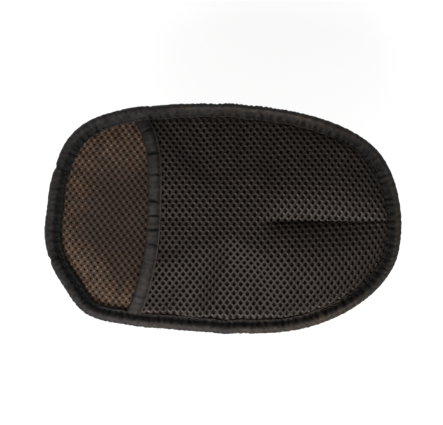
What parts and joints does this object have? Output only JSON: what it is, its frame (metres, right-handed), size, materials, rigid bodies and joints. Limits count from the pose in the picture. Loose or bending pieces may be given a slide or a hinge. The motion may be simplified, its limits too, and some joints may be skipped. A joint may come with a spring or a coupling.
{
  "type": "grooming mitt",
  "caption": "Oval pull-on grooming mitt: a bound padded palm with a moulded nub pad underneath and a domed mesh back panel open at the wrist.",
  "frame": {"origin": "under the middle of the mitt's length and width, on the plane that the nub tips rest on", "axes": "+X to the fingertip end, +Z to the back of the hand, +Y completes a right-handed frame"},
  "size_m": [0.24, 0.155, 0.0322],
  "materials": {
    "nub_pad": "matt moulded rubber",
    "padding": "open-cell foam",
    "palm_lining": "knitted air mesh",
    "rim_binding": "folded knitted tape",
    "thread": "spun thread",
    "back_lining": "plain tricot",
    "back_mesh": "knitted air mesh",
    "elastic": "braided elastic",
    "mouth_binding": "gathered knitted tape"
  },
  "bodies": {
    "palm": {"nub_pad_palm": "nub_pad", "padding_palm": "padding", "palm_lining_palm": "palm_lining", "rim_binding_palm": "rim_binding", "rim_stitches_palm": "thread"},
    "fingers": {"nub_pad_fingers": "nub_pad", "padding_fingers": "padding", "palm_lining_fingers": "palm_lining", "rim_binding_fingers": "rim_binding", "rim_stitches_fingers": "thread", "back_lining_fingers": "back_lining", "back_mesh_fingers": "back_mesh", "dart_stitches": "thread"},
    "wrist_flap": {"nub_pad_wrist": "nub_pad", "padding_wrist": "padding", "palm_lining_wrist": "palm_lining", "rim_binding_wrist": "rim_binding", "rim_stitches_wrist": "thread"},
    "mouth": {"back_lining_mouth": "back_lining", "back_mesh_mouth": "back_mesh", "mouth_elastic": "elastic", "mouth_binding": "mouth_binding", "mouth_stitches": "thread"}
  },
  "joints": [
    {"name": "knuckle_flex", "type": "hinge", "parent": "palm", "child": "fingers", "pos_m": [0.012, 0, 0.0068], "axis": [0, 1, 0], "range_deg": [-5, 60], "stiffness_Nm_per_rad": 0.06},
    {"name": "wrist_flex", "type": "hinge", "parent": "palm", "child": "wrist_flap", "pos_m": [-0.068, 0, 0.0068], "axis": [0, -1, 0], "range_deg": [-20, 40], "stiffness_Nm_per_rad": 0.05},
    {"name": "mouth_open", "type": "hinge", "parent": "palm", "child": "mouth", "pos_m": [0.012, 0, 0.031], "axis": [0, 1, 0], "range_deg": [0, 25], "stiffness_Nm_per_rad": 0.03}
  ]
}
